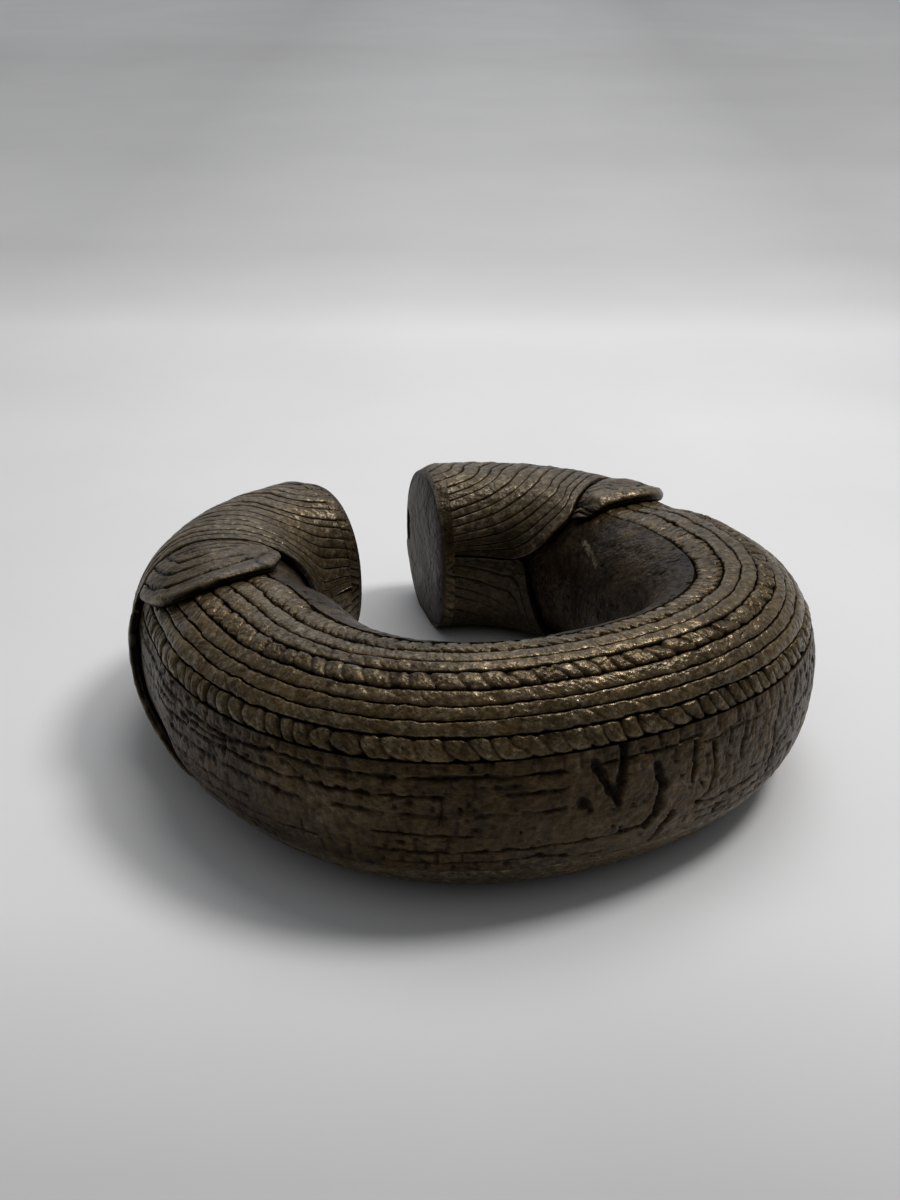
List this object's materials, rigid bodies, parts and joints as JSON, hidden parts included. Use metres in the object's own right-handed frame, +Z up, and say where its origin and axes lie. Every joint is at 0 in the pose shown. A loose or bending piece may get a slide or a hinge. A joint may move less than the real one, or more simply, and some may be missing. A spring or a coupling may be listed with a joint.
{
  "type": "manilla currency bracelet",
  "caption": "Heavy open hoop bracelet of cast copper alloy with corded bands, thread-wrapped ends with pointed tongues and flat end faces",
  "frame": {"origin": "on the ground under the middle of the hoop's outline as seen from above", "axes": "the hoop lies flat with +Z up through it; +Y points from its middle to the opening between its two ends; +X runs across the opening to the right as seen from the solid front looking at the opening"},
  "size_m": [0.1138, 0.1146, 0.0379],
  "materials": {
    "worn_bronze": "dark brown patina, worn smooth on the belly",
    "corded_bronze": "dark brown patina, rubbed bright on the ridges",
    "threaded_bronze": "dark brown patina, rubbed bright on the threads",
    "end_bronze": "dull grey-brown patina",
    "fired_clay": "rough burnt clay"
  },
  "bodies": {
    "root": {"hoop_shell": "worn_bronze", "clay_core": "fired_clay", "large_twisted_cord": "corded_bronze", "slender_twisted_cord": "corded_bronze", "outer_flat_cord": "corded_bronze", "middle_flat_cord": "corded_bronze", "small_twisted_cord": "corded_bronze", "inner_plain_cord": "corded_bronze", "inner_flat_cord": "corded_bronze", "inner_edge_cord": "corded_bronze", "base_cord": "corded_bronze", "low_cord": "corded_bronze", "belly_edge_cord": "corded_bronze", "left_upper_wrap": "threaded_bronze", "right_upper_wrap": "threaded_bronze", "left_lower_wrap": "threaded_bronze", "right_lower_wrap": "threaded_bronze", "left_upper_tongue": "threaded_bronze", "right_upper_tongue": "threaded_bronze", "left_lower_tongue": "threaded_bronze", "right_lower_tongue": "threaded_bronze", "left_collar": "end_bronze", "right_collar": "end_bronze", "left_end_plate": "end_bronze", "right_end_plate": "end_bronze"}
  },
  "joints": []
}
